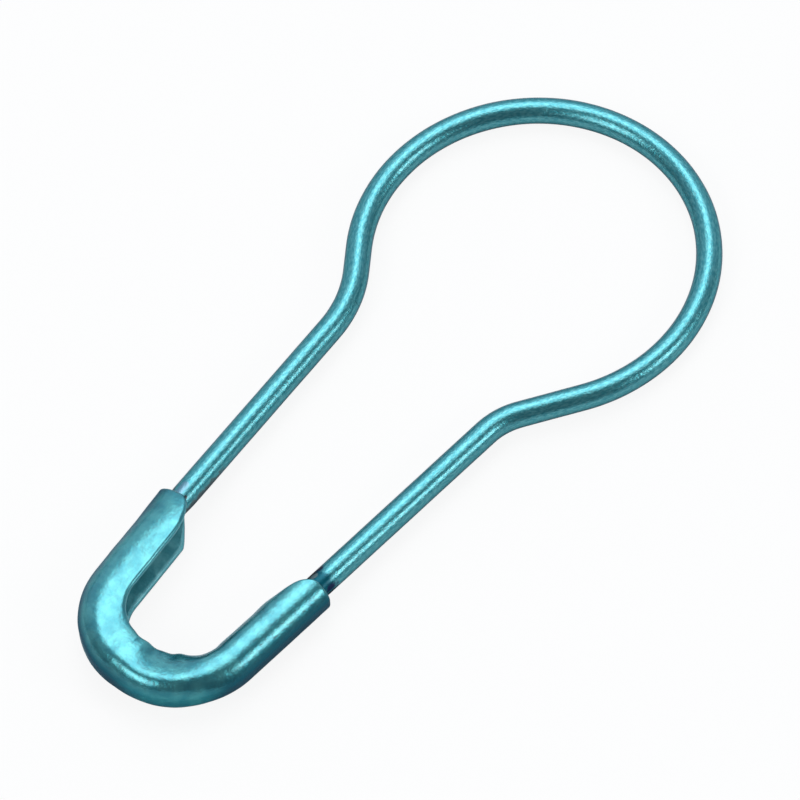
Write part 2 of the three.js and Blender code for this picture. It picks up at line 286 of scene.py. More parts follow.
def run_tree(piece, tree, values):
    """Gives a piece the tree's shape as its own plain mesh."""
    modifier = piece.modifiers.new(tree.name, "NODES")
    modifier.node_group = tree
    for item in tree.interface.items_tree:
        if item.in_out == "INPUT" and item.name in values:
            modifier[item.identifier] = values[item.name]
    depsgraph = bpy.context.evaluated_depsgraph_get()
    made = bpy.data.meshes.new_from_object(
        piece.evaluated_get(depsgraph), preserve_all_data_layers=True, depsgraph=depsgraph
    )
    piece.modifiers.clear()
    piece.data = made
    return piece


def new_piece(name, vertices, edges=(), faces=()):
    mesh = bpy.data.meshes.new(name)
    mesh.from_pydata([tuple(v) for v in vertices], list(edges), list(faces))
    piece = bpy.data.objects.new(name, mesh)
    bpy.context.scene.collection.objects.link(piece)
    return piece


def drawn_wire_tree():
    """Round wire along a route, ground to a full point at the route's end."""
    tree, given = new_geometry_tree("Drawn wire", {
        "First place": ("NodeSocketFloat", 0.0),
        "Wire diameter": ("NodeSocketFloat", WIRE_DIAMETER),
        "Sides": ("NodeSocketInt", WIRE_SIDES),
        "Tip radius": ("NodeSocketFloat", TIP_RADIUS),
        "Point taper": ("NodeSocketFloat", POINT_TAPER),
        "Point fullness": ("NodeSocketFloat", POINT_FULLNESS),
        "Ripple": ("NodeSocketFloat", 0.0),
        "Ripple length": ("NodeSocketFloat", 1 * MM),
        "Seed": ("NodeSocketFloat", 1.0),
        "Material": ("NodeSocketMaterial", None),
    })
    route = add_node(tree, "GeometryNodeMeshToCurve", {"Mesh": given["Geometry"]}).outputs[0]
    place = tree.nodes.new("GeometryNodeSplineParameter").outputs["Length"]
    whole = tree.nodes.new("GeometryNodeSplineLength").outputs["Length"]
    wire_place = maths(tree, "ADD", place, given["First place"])
    kept = add_node(tree, "GeometryNodeStoreNamedAttribute", {
        "Geometry": route, "Name": "wire_place", "Value": wire_place,
    }, data_type="FLOAT", domain="POINT").outputs[0]
    full = maths(tree, "MULTIPLY", given["Wire diameter"], 0.5)
    above = maths(tree, "SUBTRACT", whole, place)
    left = maths(tree, "SUBTRACT", 1.0, maths(tree, "DIVIDE", above, given["Point taper"], clamp=True))
    growth = maths(tree, "SUBTRACT", 1.0, maths(tree, "POWER", left, given["Point fullness"]))
    spread = maths(tree, "MULTIPLY", maths(tree, "SUBTRACT", full, given["Tip radius"]), growth)
    radius = maths(tree, "ADD", given["Tip radius"], spread)
    circle = add_node(tree, "GeometryNodeCurvePrimitiveCircle", {
        "Resolution": given["Sides"], "Radius": 1.0,
    })
    turn = tree.nodes.new("GeometryNodeSplineParameter").outputs["Factor"]
    profile = add_node(tree, "GeometryNodeStoreNamedAttribute", {
        "Geometry": circle.outputs["Curve"], "Name": "wire_turn", "Value": turn,
    }, data_type="FLOAT", domain="POINT").outputs[0]
    tube = add_node(tree, "GeometryNodeCurveToMesh", {
        "Curve": kept, "Profile Curve": profile, "Scale": radius, "Fill Caps": True,
    }).outputs[0]
    rippled = ripple(tree, tube, given["Ripple"], given["Ripple length"], given["Seed"])
    smooth = add_node(tree, "GeometryNodeSetShadeSmooth", {"Geometry": rippled}).outputs[0]
    finish_tree(tree, smooth, given["Material"])
    return tree


def ripple(tree, geometry, depth, length, seed):
    """Moves a surface in and out along its normal by a smooth seeded noise."""
    waves = add_node(tree, "ShaderNodeTexNoise", {
        "Scale": maths(tree, "DIVIDE", 1.0, length), "W": seed, "Detail": 1.0,
    }, noise_dimensions="4D")
    level = maths(tree, "MULTIPLY", maths(tree, "SUBTRACT", waves.outputs["Fac"], 0.5), depth)
    normal = tree.nodes.new("GeometryNodeInputNormal").outputs[0]
    offset = add_node(tree, "ShaderNodeVectorMath", {0: normal, "Scale": level}, operation="SCALE")
    return add_node(tree, "GeometryNodeSetPosition", {
        "Geometry": geometry, "Offset": offset.outputs["Vector"],
    }).outputs[0]


def make_wire(name, stations, material, first_place=0.0, tip_radius=WIRE_RADIUS):
    """A stretch of the spring wire, cut square at its end or, with a finer tip, ground to a point."""
    points = [(*place, WIRE_LEVEL) for place, _ in stations]
    wire = new_piece(name, points, edges=[(i, i + 1) for i in range(len(points) - 1)])
    return run_tree(wire, drawn_wire_tree(), {
        "First place": first_place, "Wire diameter": WIRE_DIAMETER, "Sides": WIRE_SIDES,
        "Tip radius": tip_radius, "Point taper": POINT_TAPER, "Point fullness": POINT_FULLNESS,
        "Ripple": RIPPLE_DEPTH, "Ripple length": RIPPLE_LENGTH, "Seed": RIPPLE_SEED,
        "Material": material,
    })


# The forms that the cap's fold takes: half thickness, half thickness at the lip, depth of the rounded
# wall, depth of the lip, how far and how late the face dips towards the lip, and how evenly
MOUTH_FORM = np.array([0.65 * MM, 0.65 * MM, 1.1 * MM, 1.28 * MM, math.radians(112), 3.0, 0.3])
CHANNEL_FORM = np.array([0.65 * MM, 0.65 * MM, 0.74 * MM, 1.28 * MM, math.radians(112), 3.0, 0.3])
CORNER_FORM = np.array([0.64 * MM, 0.54 * MM, 0.5 * MM, 1.32 * MM, math.radians(112), 3.0, 0.5])
FOOT_FORM = np.array([0.6 * MM, CLOSED_LIP, 0.42 * MM, 1.4 * MM, math.radians(112), 1.2, 0.4])
CRIMP_FORM = np.array([TUBE_RADIUS, CLOSED_LIP, TUBE_RADIUS, 1.2 * MM, math.radians(90), 1.5, 0])

MOUTH_REACH = 2.2 * MM
EVEN_FALL_POWER = 1.2

# Where the fold takes each form: 0 to 1 is the bend under the open channel, and 1 to 2 is the one under
# the crimp
FORM_PLACES = (
    (0.0, CHANNEL_FORM), (0.78, CORNER_FORM), (0.95, CORNER_FORM),
    (1.2, FOOT_FORM), (1.4, FOOT_FORM), (1.85, CRIMP_FORM), (2.0, CRIMP_FORM),
)

# A row of the cap that is away from both mouths
FAR_FROM_MOUTH = 1.0

# Marks of the press on the cap. The lip is ragged and pleated where the fold is pinched, fully so where
# the face has come in by PINCH, and the crimped tube keeps a share of the dents
EDGE_ROUND = SHEET / 2
LEAST_FLANGE = 0.06 * MM
PINCH = 0.25 * MM
DENT_DEPTH = 0.025 * MM
DENT_SIZE = 1.3 * MM
DIMPLE_DEPTH = 0.010 * MM
DIMPLE_SIZE = 0.55 * MM
CRIMP_DENT_SHARE = 0.3
RAGGED_DEPTH = 0.07 * MM
RAGGED_SIZE = 0.55 * MM
RAGGED_SEED = 11.5
PLEAT_DEPTH = 0.05 * MM
PLEAT_SIZE = 0.6 * MM
PLEAT_REACH = 0.55 * MM
PLEAT_SEED = 31.5
MOUTH_DIP = 0.10 * MM
MOUTH_DIP_REACH = 1.1 * MM
# How far in from the outer line the cap's painted wall shade reaches, as a share of the rounded wall's
# depth
SHADED_WALL_SHARE = 0.38
SAME_PLACE = 1e-7


def turned(direction, angle):
    return math.cos(angle) * direction + math.sin(angle) * turned_left(direction)


def channel_line():
    seat = WIRE_RADIUS + REST_GAP + SHEET
    return pin_leg[0] - seat * turned_left(pin_leg[1]), turned(pin_leg[1], CHANNEL_TOE_IN)


def crimp_line():
    return fixed_leg[0] + TUBE_RADIUS * turned_left(fixed_leg[1]), fixed_leg[1]


def corner_reach(turn, radius):
    return radius * math.tan(abs(turn) / 2)


def eased(share):
    share = np.clip(share, 0, 1)
    return share * share * (3 - 2 * share)


def edge_spacing(length):
    """Distances from a mouth: close together round the sheet's edge, then even."""
    angles = np.linspace(0, math.pi / 2, EDGE_STEPS + 1)[:-1]
    near = EDGE_ROUND * (1 - np.cos(angles))
    far = np.linspace(EDGE_ROUND, length, math.ceil(length / CAP_STEP))
    return np.concatenate([near, far])


def cap_rows():
    """Rows down, round and up the cap's outer line.

    Each is a place, a heading, the fold's form, the distance from the mouth and the stretch's name.
    """
    channel = channel_line()
    crimp = crimp_line()
    foot = (np.array([0, FOOT_LEVEL]), np.array([1.0, 0.0]))
    up_crimp = -crimp[1]
    pin_corner = meeting(channel, foot)
    crimp_corner = meeting(crimp, foot)
    pin_turn = corner_turn(channel[1], foot[1])
    crimp_turn = corner_turn(foot[1], up_crimp)
    crimp_reach = corner_reach(crimp_turn, FOOT_CORNER_RADIUS)
    pin_reach = np.linalg.norm(crimp_corner - pin_corner) - crimp_reach - FOOT_FLAT
    pin_bend = rounded(pin_corner, channel[1], foot[1], pin_reach / math.tan(pin_turn / 2), CAP_STEP)
    crimp_bend = rounded(crimp_corner, foot[1], up_crimp, FOOT_CORNER_RADIUS, CAP_STEP)
    open_mouth = at_height(channel, FOOT_LEVEL + OPEN_MOUTH_HEIGHT)
    crimp_mouth = at_height(crimp, FOOT_LEVEL + CRIMP_MOUTH_HEIGHT)
    rows = []
    channel_length = np.linalg.norm(pin_bend[0][0] - open_mouth)
    for distance in edge_spacing(channel_length)[:-1]:
        form = blended(MOUTH_FORM, CHANNEL_FORM, distance / MOUTH_REACH)
        rows.append((open_mouth + distance * channel[1], channel[1], form, distance, "channel"))
    for share, (place, heading) in zip(np.linspace(0, 1, len(pin_bend)), pin_bend):
        rows.append((place, heading, form_at(share), FAR_FROM_MOUTH, "foot"))
    for share, (place, heading) in zip(np.linspace(0, 1, len(crimp_bend)), crimp_bend):
        rows.append((place, heading, form_at(1 + share), FAR_FROM_MOUTH, "foot"))
    crimp_length = np.linalg.norm(crimp_mouth - crimp_bend[-1][0])
    for distance in edge_spacing(crimp_length)[-2::-1]:
        rows.append((crimp_mouth - distance * up_crimp, up_crimp, CRIMP_FORM, distance, "crimp"))
    return rows


def blended(first, second, share):
    return first + (second - first) * eased(share)


def form_at(place):
    """The fold's form at a place round its two bends."""
    for (start, first), (end, second) in zip(FORM_PLACES, FORM_PLACES[1:]):
        if place <= end:
            return blended(first, second, (place - start) / (end - start))


def rounded_depth(mouth_depth, full_depth, corner, fullness, distance):
    """Depth of the lip near a mouth: its corner is cut straight at a fullness of 1 and round at 2."""
    share = 1 - min(1, distance / corner)
    return mouth_depth + (full_depth - mouth_depth) * (1 - share**fullness) ** (1 / fullness)


def lip_face(form, depth):
    """Height of the fold's outer face past its rounded wall."""
    half, lip_half, shoulder, full_depth, sweep, hold, evenness = form
    share = np.clip((depth - shoulder) / (full_depth - shoulder), 0, 1)
    late = (1 - np.cos(sweep * share**hold)) / (1 - math.cos(sweep))
    fall = evenness * share**EVEN_FALL_POWER + (1 - evenness) * late
    return half - (half - lip_half) * fall


def fold_faces(form, depths):
    """Outer and inner faces of half of the fold at depths from its outer line."""
    half, _, shoulder = form[:3]
    turn = np.arcsin(np.clip(1 - depths / shoulder, 0, 1))
    flat = lip_face(form, depths)
    slope = (lip_face(form, depths + SHEET / 100) - flat) / (SHEET / 100)
    flat_inside = np.maximum(flat - SHEET * np.sqrt(1 + slope**2), SEAM_GAP / 2)
    in_wall = depths < shoulder
    heights = np.where(in_wall, half * np.cos(turn), flat)
    inner_depths = np.where(in_wall, shoulder - (shoulder - SHEET) * np.sin(turn), depths)
    inner_heights = np.where(in_wall, (half - SHEET) * np.cos(turn), flat_inside)
    return np.column_stack([depths, heights]), np.column_stack([inner_depths, inner_heights])


def half_section(form, lip_depth):
    """Half of the fold's section as outer faces, inner faces and how full the sheet is, from its lip."""
    shoulder = form[2]
    angles = np.linspace(0, math.pi / 2, EDGE_STEPS + 1)
    edge = lip_depth - EDGE_ROUND * (1 - np.cos(angles))
    wall_start = min(shoulder, edge[-1] - LEAST_FLANGE)
    flat = np.linspace(edge[-1], wall_start, FLANGE_STEPS + 1)[1:-1]
    turns = np.linspace(math.asin(1 - wall_start / shoulder), math.pi / 2, WALL_STEPS // 2 + 1)
    depths = np.concatenate([edge, flat, shoulder * (1 - np.sin(turns))])
    outer, inside = fold_faces(form, depths)
    full = np.ones(len(depths))
    full[:len(angles)] = np.sin(angles)
    return outer, inside, full


def wander(seed, distance, size):
    """A smooth seeded noise between -1 and 1 along a distance."""
    return noise.noise(Vector((distance / size, seed, 0.5)))


def spread_noise(points, size):
    """Smooth noise between -1 and 1 at each point."""
    return np.array([noise.noise(Vector(point) / size) for point in points])


def worked_side(side, form, distance, stretch, run):
    """Half of the fold's section above (1) or below (-1), with its ragged and pleated lip."""
    half, lip_half, _, full_depth = form[:4]
    in_channel = stretch == "channel"
    mouth_depth = CRIMP_MOUTH_DEPTH if stretch == "crimp" else CHANNEL_MOUTH_DEPTH
    corner, fullness = CRIMP_CORNER if stretch == "crimp" else CHANNEL_CORNER, UPPER_FULLNESS
    if side < 0 and in_channel:
        corner, fullness = LOWER_CORNER, LOWER_FULLNESS
    pinched = eased((half - lip_half) / PINCH)
    depth = rounded_depth(mouth_depth, full_depth, corner, fullness, distance)
    ragged = RAGGED_DEPTH * pinched * wander(RAGGED_SEED + side, run, RAGGED_SIZE)
    outer, inside, full = half_section(form, depth + ragged)
    pleat = PLEAT_DEPTH * pinched * wander(PLEAT_SEED + side, run, PLEAT_SIZE)
    near_lip = eased(1 - (depth - outer[:, 0]) / PLEAT_REACH)
    dipped = MOUTH_DIP * max(0, 1 - distance / MOUTH_DIP_REACH) ** 2 if in_channel else 0
    lift = pleat * near_lip - dipped * eased(outer[:, 0] / CHANNEL_FORM[2])
    outer[:, 1] += lift
    inside[:, 1] += lift
    inside[:, 1] = np.maximum(inside[:, 1], SEAM_GAP / 4)
    outer[:, 1] = np.maximum(outer[:, 1], inside[:, 1] + SHEET / 2)
    for faces in (outer, inside):
        faces[:, 1] *= side
    return outer, inside, full


def dented(middle, across, sweep):
    """The middle of the sheet, pressed in and out by dents that the crimped tube has less of."""
    dents = DENT_DEPTH * spread_noise(middle, DENT_SIZE)
    dents = dents + DIMPLE_DEPTH * spread_noise(middle, DIMPLE_SIZE)
    past_crimp, whole = sweep - CRIMP_FORM[4], FOOT_FORM[4] - CRIMP_FORM[4]
    dents *= CRIMP_DENT_SHARE + (1 - CRIMP_DENT_SHARE) * past_crimp / whole
    return middle + across * (dents / SHEET * 2)[:, None]


def cap_vertices():
    """Rings of the cap's closed shell, and the marks of each vertex by name."""
    vertices = []
    marks = {"edge_wear": [], "hollow_side": [], "wall_shade": [], "mouth_cut": []}
    run = 0.0
    last = None
    for place, heading, form, distance, stretch in cap_rows():
        run += 0 if last is None else np.linalg.norm(place - last)
        last = place
        open_end = math.sqrt(1 - max(0, 1 - distance / EDGE_ROUND) ** 2)
        upper, lower = (worked_side(side, form, distance, stretch, run) for side in (1, -1))
        outer, inside, full = (
            np.concatenate([above, below[-2::-1]]) for above, below in zip(upper, lower)
        )
        full = full * open_end
        inwards = turned_left(heading)
        ring_outer = ring(place, inwards, outer)
        ring_inside = ring(place, inwards, inside)
        middle = (ring_outer + ring_inside) / 2
        across = ring_outer - middle
        middle = dented(middle, across, form[4])
        thick = across * full[:, None]
        vertices.append(np.concatenate([middle + thick, (middle - thick)[::-1]]))
        worn = 1 - full
        # Mask of the painted shade on the steep outer wall, strongest at the outer line
        steep = eased(1 - outer[:, 0] / (SHADED_WALL_SHARE * form[2]))
        marks["edge_wear"].append(np.concatenate([worn, worn[::-1]]))
        marks["hollow_side"].append(np.concatenate([0 * worn, 1 - worn[::-1]]))
        marks["wall_shade"].append(np.concatenate([steep, 0 * steep]))
        marks["mouth_cut"].append(np.full(2 * len(full), 1 - open_end))
    return np.array(vertices), {name: np.array(values) for name, values in marks.items()}


def ring(place, inwards, section):
    plan = place + section[:, :1] * inwards
    return np.column_stack([plan, WIRE_LEVEL + section[:, 1]])


def make_cap(material):
    """The folded sheet cap: open channel, pinched foot and crimped tube in one closed shell."""
    rings, marks = cap_vertices()
    rows, around = rings.shape[:2]
    faces = []
    for row in range(rows - 1):
        for place in range(around):
            ahead = (place + 1) % around
            faces.append((
                row * around + place, row * around + ahead,
                (row + 1) * around + ahead, (row + 1) * around + place,
            ))
    cap = new_piece("folded_cap", rings.reshape(-1, 3), faces=faces)
    for name, values in marks.items():
        mark = cap.data.attributes.new(name, "FLOAT", "POINT")
        mark.data.foreach_set("value", values.astype(np.float32).ravel())
    merge_doubles(cap, SAME_PLACE)
    cap.data.shade_smooth()
    cap.data.materials.append(material)
    return cap


def merge_doubles(piece, distance):
    body = bmesh.new()
    body.from_mesh(piece.data)
    bmesh.ops.remove_doubles(body, verts=body.verts, dist=distance)
    bmesh.ops.dissolve_degenerate(body, edges=body.edges, dist=distance / 10)
    body.to_mesh(piece.data)
    body.free()


def new_material(name):
    material = bpy.data.materials.new(name)
    material.use_nodes = True
    tree = material.node_tree
    return material, tree, tree.nodes["Principled BSDF"]


def noise_at(tree, place, size, detail=2.0, roughness=0.5):
    """Smooth noise with features of a real size."""
    return add_node(tree, "ShaderNodeTexNoise", {
        "Vector": place, "Scale": 1 / size, "Detail": detail, "Roughness": roughness,
    }).outputs["Fac"]


def mixed(tree, share, first, second):
    """A colour or number between two others."""
    kind = "RGBA" if isinstance(first, tuple) or getattr(first, "type", "") == "RGBA" else "FLOAT"
    node = tree.nodes.new("ShaderNodeMix")
    node.data_type = kind
    first_socket, second_socket = {"FLOAT": (2, 3), "RGBA": (6, 7)}[kind]
    for index, value in ((0, share), (first_socket, first), (second_socket, second)):
        if isinstance(value, bpy.types.NodeSocket):
            tree.links.new(value, node.inputs[index])
        else:
            node.inputs[index].default_value = value
    return node.outputs[{"FLOAT": 0, "RGBA": 2}[kind]]


def bumped(tree, height, depth, below=None):
    """A normal that follows a height between 0 and 1, over an earlier normal."""
    inputs = {"Height": height, "Strength": 1.0, "Distance": depth}
    if below is not None:
        inputs["Normal"] = below
    return add_node(tree, "ShaderNodeBump", inputs).outputs["Normal"]


# Colours of the lacquer, of metal seen at a glancing angle, of painted shade, and of bare and scorched
# steel
TEAL = (0.066, 0.322, 0.346, 1)
WIRE_TEAL = (0.108, 0.375, 0.405, 1)
DEEP_TEAL = (0.028, 0.225, 0.270, 1)
WALL_SHADE_TEAL = (0.004, 0.085, 0.120, 1)
DULL_TEAL = (0.110, 0.400, 0.450, 1)
PALE_TEAL = (0.240, 0.620, 0.660, 1)
EDGE_TEAL = (0.160, 0.500, 0.560, 1)
BARE_STEEL = (0.46, 0.45, 0.42, 1)
GLANCING_TEAL = (0.08, 0.42, 0.50, 1)
GLANCING_NAVY = (0.02, 0.16, 0.22, 1)
LILAC_STEEL = (0.110, 0.240, 0.310, 1)
RUBBED_STEEL = (0.120, 0.170, 0.180, 1)
GREY_BROWN = (0.075, 0.115, 0.120, 1)
SCORCHED_BROWN = (0.045, 0.045, 0.052, 1)
SCORCH_AND_SHADE_NAVY = (0.012, 0.026, 0.070, 1)

# Places along the wire, from its crimped end: where it leaves the crimp, where the bow ends, and where
# the pin leg enters the open channel
CRIMP_MOUTH = CRIMP_MOUTH_HEIGHT - FIXED_END_HEIGHT
BOW_LENGTH = run_length(bow_stations())
OPEN_MOUTH = BOW_LENGTH + run_length(pin_leg_stations()) - OPEN_MOUTH_HEIGHT + TIP_HEIGHT

# Spots on the wire beside the cap: place along the wire, turn round it (0.75 on top), half length,
# half width as a share of a turn, and colour
WIRE_SPOTS = (
    # At the crimp's mouth, the dark teal band all round the wire is painted shade that dims its
    # highlights, and the navy and brown spots are partly scorch marks and partly painted shadow where
    # the wire enters the tube
    (CRIMP_MOUTH + 0.20 * MM, 0.75, 0.30 * MM, 0.50, WALL_SHADE_TEAL),
    (CRIMP_MOUTH + 0.16 * MM, 0.62, 0.22 * MM, 0.07, SCORCHED_BROWN),
    (CRIMP_MOUTH + 0.40 * MM, 0.62, 0.20 * MM, 0.07, SCORCH_AND_SHADE_NAVY),
    (CRIMP_MOUTH + 0.30 * MM, 0.98, 0.26 * MM, 0.09, SCORCH_AND_SHADE_NAVY),
    (CRIMP_MOUTH + 0.16 * MM, 0.68, 0.15 * MM, 0.04, RUBBED_STEEL),
    (OPEN_MOUTH - 0.25 * MM, 0.77, 0.28 * MM, 0.07, LILAC_STEEL),
    (OPEN_MOUTH - 0.60 * MM, 0.49, 1.10 * MM, 0.07, GREY_BROWN),
    (OPEN_MOUTH - 0.08 * MM, 0.92, 0.20 * MM, 0.06, SCORCHED_BROWN),
    (OPEN_MOUTH - 0.02 * MM, 0.66, 0.16 * MM, 0.04, SCORCHED_BROWN),
)


def spotted(tree, colour, along_wire, round_wire, grain, spot):
    """A colour with one ragged spot over it."""
    place, turn, half_length, half_width, paint = spot
    off_place = maths(tree, "DIVIDE", maths(tree, "SUBTRACT", along_wire, place), half_length)
    turned_off = maths(tree, "WRAP", maths(tree, "SUBTRACT", round_wire, turn), 0.5, -0.5)
    off_turn = maths(tree, "DIVIDE", turned_off, half_width)
    squares = [maths(tree, "POWER", off, 2.0) for off in (off_place, off_turn)]
    off_middle = maths(tree, "SQRT", maths(tree, "ADD", *squares))
    raggedness = maths(tree, "MULTIPLY", maths(tree, "SUBTRACT", grain, 0.5), 1.6)
    ragged = maths(tree, "ADD", off_middle, raggedness)
    return mixed(tree, smooth_step(tree, ragged, 1.2, 0.5), colour, paint)


def lacquer_on_wire():
    """Teal lacquer on drawn wire: fine streaks along it, rubbed and scorched close to the cap, with
    painted shade where it leaves the crimp.
    """
    material, tree, surface = new_material("teal lacquer on wire")
    place = tree.nodes.new("ShaderNodeTexCoord").outputs["Object"]
    along_wire = add_node(tree, "ShaderNodeAttribute", attribute_name="wire_place").outputs["Fac"]
    round_wire = add_node(tree, "ShaderNodeAttribute", attribute_name="wire_turn").outputs["Fac"]
    drawn = add_node(tree, "ShaderNodeCombineXYZ", {
        "X": maths(tree, "DIVIDE", along_wire, 3.0),
        "Y": maths(tree, "MULTIPLY", round_wire, math.pi * WIRE_DIAMETER),
    }).outputs[0]
    streaks = smooth_step(tree, noise_at(tree, drawn, 0.05 * MM, detail=3.0), 0.35, 0.65)
    blotches = noise_at(tree, place, 0.5 * MM)
    colour = mixed(tree, mixed(tree, 0.75, blotches, streaks), DEEP_TEAL, WIRE_TEAL)
    grain = noise_at(tree, place, 0.16 * MM, detail=2.0)
    for spot in WIRE_SPOTS:
        colour = spotted(tree, colour, along_wire, round_wire, grain, spot)
    tree.links.new(colour, surface.inputs["Base Color"])
    surface.inputs["Metallic"].default_value = 1.0
    surface.inputs["Specular Tint"].default_value = GLANCING_NAVY
    scorched = smooth_step(tree, along_wire, CRIMP_MOUTH + 0.6 * MM, CRIMP_MOUTH + 0.2 * MM)
    tree.links.new(mixed(tree, scorched, 0.5, 0.1), surface.inputs["Coat Weight"])
    surface.inputs["Coat Roughness"].default_value = 0.14
    rough = mixed(tree, noise_at(tree, place, 0.25 * MM), 0.26, 0.36)
    tree.links.new(mixed(tree, scorched, rough, 0.45), surface.inputs["Roughness"])
    grit = noise_at(tree, place, 0.06 * MM, detail=2.0)
    tree.links.new(bumped(tree, grit, 0.009 * MM), surface.inputs["Normal"])
    return material


def lacquer_on_sheet():
    """Teal lacquer on pressed sheet: grained, light along the sheet's edges, dull inside the fold, with
    painted shade on the steep outer walls.
    """
    material, tree, surface = new_material("teal lacquer on sheet")
    place = tree.nodes.new("ShaderNodeTexCoord").outputs["Object"]
    worn = add_node(tree, "ShaderNodeAttribute", attribute_name="edge_wear").outputs["Fac"]
    hollow = add_node(tree, "ShaderNodeAttribute", attribute_name="hollow_side").outputs["Fac"]
    wall = add_node(tree, "ShaderNodeAttribute", attribute_name="wall_shade").outputs["Fac"]
    cut = add_node(tree, "ShaderNodeAttribute", attribute_name="mouth_cut").outputs["Fac"]
    blotches = smooth_step(tree, noise_at(tree, place, 0.35 * MM), 0.3, 0.7)
    colour = mixed(tree, blotches, DEEP_TEAL, TEAL)
    # Painted shade: the steep outer walls are painted dark teal and given less coat, kept weaker on the
    # foot towards the crimp
    split = add_node(tree, "ShaderNodeSeparateXYZ", {0: place}).outputs
    thin = maths(
        tree, "MULTIPLY", smooth_step(tree, split["X"], 0.0, 1.2 * MM),
        smooth_step(tree, split["Y"], -9.2 * MM, -10.0 * MM),
    )
    thinned = maths(tree, "SUBTRACT", 1.0, maths(tree, "MULTIPLY", thin, 0.8))
    wall_shade_share = maths(tree, "MULTIPLY", wall, thinned)
    colour = mixed(tree, wall_shade_share, colour, WALL_SHADE_TEAL)
    mottled = smooth_step(tree, noise_at(tree, place, 0.45 * MM), 0.4, 0.65)
    inside = mixed(tree, mottled, DULL_TEAL, PALE_TEAL)
    colour = mixed(tree, hollow, colour, inside)
    chipped = smooth_step(tree, noise_at(tree, place, 0.12 * MM), 0.35, 0.6)
    colour = mixed(tree, maths(tree, "MULTIPLY", worn, 0.55), colour, EDGE_TEAL)
    bare = maths(tree, "MULTIPLY", maths(tree, "MULTIPLY", cut, chipped), 0.6)
    tree.links.new(mixed(tree, bare, colour, BARE_STEEL), surface.inputs["Base Color"])
    tree.links.new(mixed(tree, hollow, 1.0, 0.5), surface.inputs["Metallic"])
    surface.inputs["Specular Tint"].default_value = GLANCING_TEAL
    tree.links.new(mixed(tree, wall, 0.85, 0.25), surface.inputs["Coat Weight"])
    surface.inputs["Coat Roughness"].default_value = 0.2
    rough = mixed(tree, noise_at(tree, place, 0.2 * MM), 0.26, 0.36)
    tree.links.new(mixed(tree, hollow, rough, 0.6), surface.inputs["Roughness"])
    peel = noise_at(tree, place, 0.14 * MM, detail=1.0)
    grit = noise_at(tree, place, 0.06 * MM, detail=1.0)
    skin = bumped(tree, peel, 0.011 * MM)
    tree.links.new(bumped(tree, grit, 0.003 * MM, skin), surface.inputs["Normal"])
    return material


# The studio, in the photograph's axes: side to the right, away from the camera, and up
PHOTO_ELEVATION = math.radians(57.06)
PHOTO_ROLL = math.radians(-5.2)
PIN_TURN = math.radians(45.46)
SIDE = Vector((math.cos(PIN_TURN), math.sin(PIN_TURN), 0))
AWAY = Vector((-math.sin(PIN_TURN), math.cos(PIN_TURN), 0))
UP = Vector((0, 0, 1))
PIN_MIDDLE = Vector((0, 0, WIRE_LEVEL))

# The photograph's camera, and the point of the pin that it looks at
LENS = 785
SENSOR_WIDTH = 36
CAMERA_DISTANCE = 0.4593
AIM = Vector((0.222 * MM, 0.359 * MM, WIRE_LEVEL))

# A round floor with a low rim, and what the camera and mirrored rays see of plain white in it
FLOOR_RADIUS = 1.5
FLOOR_RIM = 0.15
FLOOR_SIDES = 96
FLOOR_SEEN = 0.89
FLOOR_MIRRORED = 0.08


def studio_direction(sweep_degrees, side):
    """A direction by its sweep from the front horizon over the top, and by its reach to the side."""
    sweep = math.radians(sweep_degrees)
    level = math.sqrt(1 - side**2)
    return side * SIDE + level * (math.sin(sweep) * UP - math.cos(sweep) * AWAY)


def soft_box(name, sweep, side, width, height, radiance, distance=0.5):
    """A square-on soft light, as bright in its middle as its radiance says and fading to its edges."""
    light = bpy.data.lights.new(name, "AREA")
    light.shape = "RECTANGLE"
    light.size = width
    light.size_y = height
    light.energy = radiance * math.pi * width * height
    light.use_nodes = True
    tree = light.node_tree
    across_box = tree.nodes.new("ShaderNodeNewGeometry").outputs["Parametric"]
    split = add_node(tree, "ShaderNodeSeparateXYZ", {0: across_box}).outputs
    fades = []
    for share in (split["X"], split["Y"]):
        left = maths(tree, "SUBTRACT", 1.0, share)
        fades.append(maths(tree, "MULTIPLY", maths(tree, "MULTIPLY", share, left), 4.0))
    tree.links.new(maths(tree, "MULTIPLY", *fades), tree.nodes["Emission"].inputs["Strength"])
    lamp = bpy.data.objects.new(name, light)
    direction = studio_direction(sweep, side)
    across = SIDE - SIDE.dot(direction) * direction
    across.normalize()
    upright = direction.cross(across)
    lamp.matrix_world = Matrix.Translation(PIN_MIDDLE + distance * direction) @ Matrix(
        (across, upright, direction)
    ).transposed().to_4x4()
    lamp.visible_camera = False
    bpy.context.scene.collection.objects.link(lamp)


def light_studio():
    soft_box("back soft box", sweep=115, side=0.09, width=0.42, height=0.58, radiance=3.3)
    soft_box("right soft box", sweep=57, side=0.80, width=0.24, height=0.24, radiance=6.6)
    soft_box("left soft box", sweep=56, side=-0.62, width=0.26, height=0.42, radiance=5.0)
    world = bpy.data.worlds.new("studio")
    bpy.context.scene.world = world
    world.use_nodes = True
    tree = world.node_tree
    towards = tree.nodes.new("ShaderNodeTexCoord").outputs["Generated"]
    wall = studio_direction(170, 0)
    facing = add_node(tree, "ShaderNodeVectorMath", {0: towards, 1: wall}, operation="DOT_PRODUCT")
    level = mixed(tree, smooth_step(tree, facing.outputs["Value"], 0.0, 0.9), 0.25, 0.95)
    background = tree.nodes["Background"]
    background.inputs["Color"].default_value = (0.85, 0.97, 1.08, 1)
    tree.links.new(level, background.inputs["Strength"])


